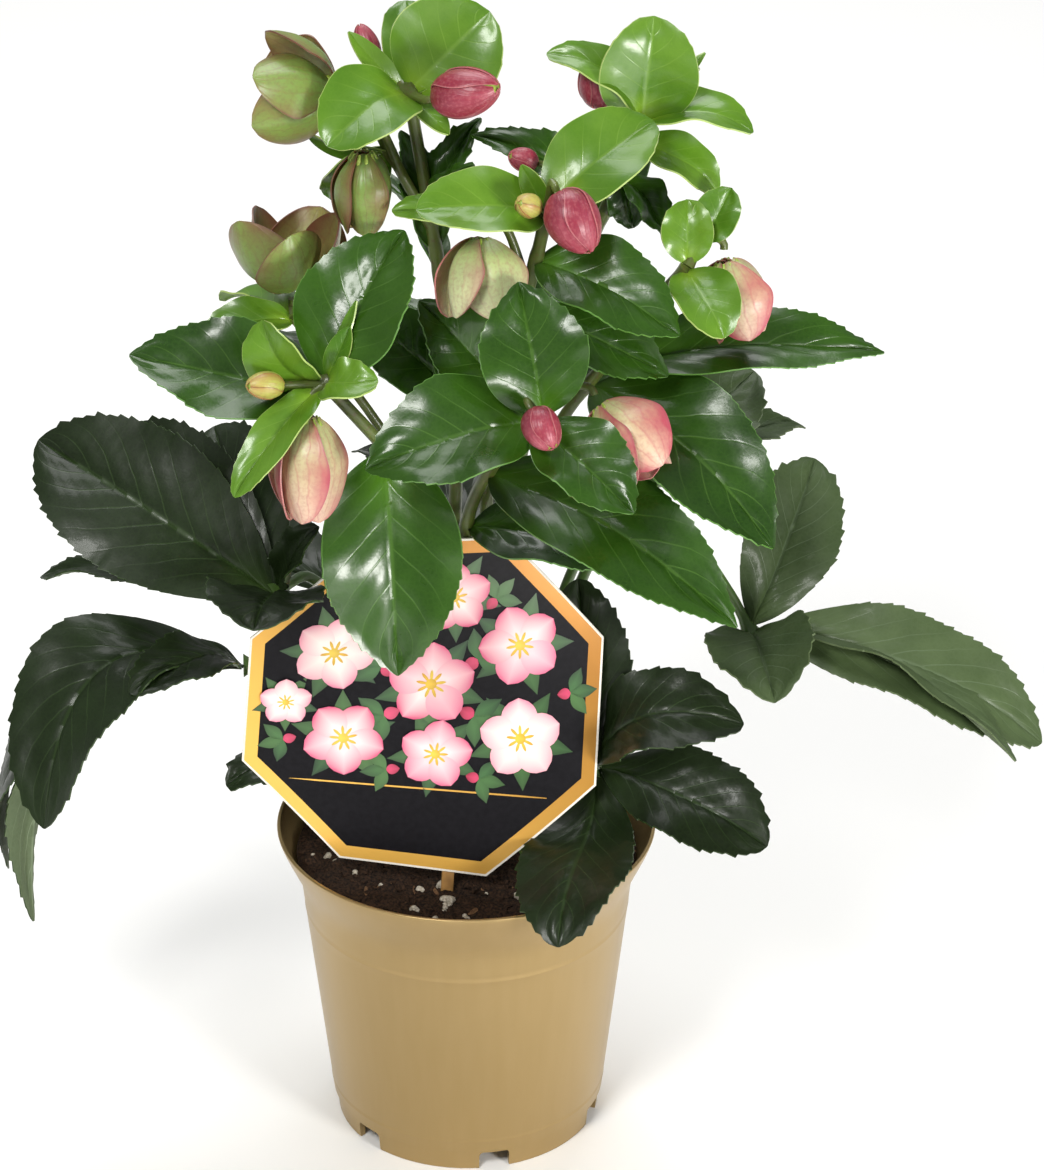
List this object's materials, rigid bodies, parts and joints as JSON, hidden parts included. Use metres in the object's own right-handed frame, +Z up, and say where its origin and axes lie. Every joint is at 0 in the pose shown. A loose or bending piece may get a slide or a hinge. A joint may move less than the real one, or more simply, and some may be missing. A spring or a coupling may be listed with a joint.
{
  "type": "potted hellebore",
  "caption": "Flowering hellebore with nodding pink and green blooms, toothed leaves and a plant label, growing in a flared gold grower's pot.",
  "frame": {"origin": "centre of the flat disc under the pot, on the surface it stands on", "axes": "+Z up, the plant's long direction; the label faces -Y"},
  "size_m": [0.3544, 0.1985, 0.4119],
  "materials": {
    "gold_plastic": "metallic satin",
    "peat": "crumbly, moist",
    "card": "printed, semi-gloss",
    "green_stem": "satin",
    "dark_leaf": "leathery satin",
    "pink_sepal": "matte",
    "green_sepal": "matte",
    "rose_bud": "satin",
    "green_bud": "satin"
  },
  "bodies": {
    "root": {"pot": "gold_plastic", "soil": "peat", "label": "card", "shoot_top_left": "green_stem", "shoot_top_right": "green_stem", "shoot_centre": "green_stem", "shoot_right": "green_stem", "shoot_front": "green_stem", "shoot_left": "green_stem", "leaf_left_high": "dark_leaf", "leaf_left_low": "dark_leaf", "leaf_left_small": "dark_leaf", "leaf_right_low": "dark_leaf", "leaf_right_far": "dark_leaf", "leaf_right_back": "dark_leaf", "leaf_back": "dark_leaf", "leaf_back_left": "dark_leaf", "bloom_top_left": "green_sepal", "bloom_top_left_hanging": "green_sepal", "bloom_left_high": "green_sepal", "bloom_centre": "pink_sepal", "bloom_right": "pink_sepal", "bloom_front": "pink_sepal", "bloom_left": "pink_sepal", "bud_left": "green_bud", "bud_centre_green": "green_bud", "bud_top_left": "rose_bud", "bud_top_left_back": "rose_bud", "bud_top_right": "rose_bud", "bud_centre": "rose_bud", "bud_centre_back": "rose_bud", "bud_front": "rose_bud"}
  },
  "joints": []
}
